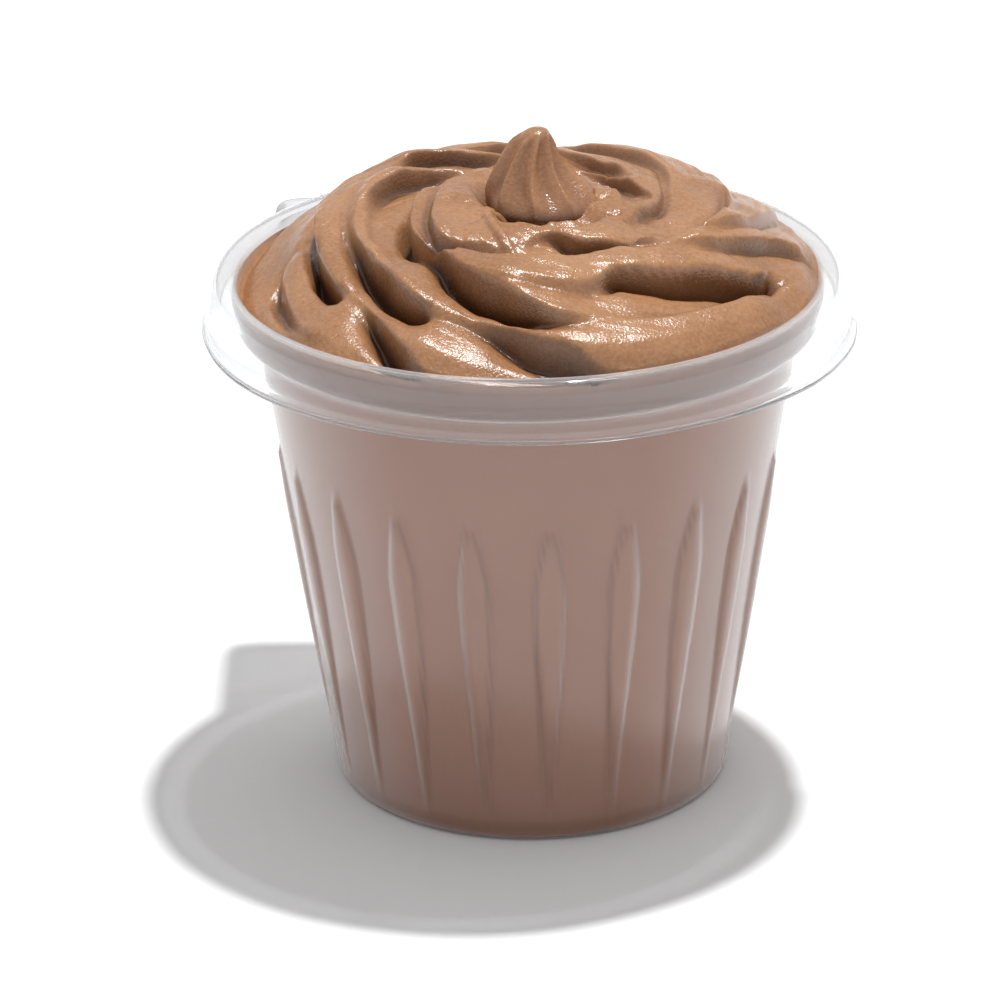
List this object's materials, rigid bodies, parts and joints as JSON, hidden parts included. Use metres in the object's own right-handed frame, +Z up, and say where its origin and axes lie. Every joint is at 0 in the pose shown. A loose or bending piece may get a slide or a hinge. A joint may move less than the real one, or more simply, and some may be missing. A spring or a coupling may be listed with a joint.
{
  "type": "chocolate mousse in a clear cup",
  "caption": "Chocolate mousse piped in a swirl with a pulled-up peak, filling a clear ribbed plastic cup with a skirted rim and a hinge tab.",
  "frame": {"origin": "centre of the cup's flat base, on the surface it stands on", "axes": "+Z up along the cup's axis, -Y to the front, +Y to the hinge tab"},
  "size_m": [0.1049, 0.1101, 0.1093],
  "materials": {
    "clear_plastic": "clear thermoformed plastic",
    "mousse": "airy whipped chocolate with a soft sheen"
  },
  "bodies": {
    "root": {"cup": "clear_plastic", "mousse": "mousse"}
  },
  "joints": []
}
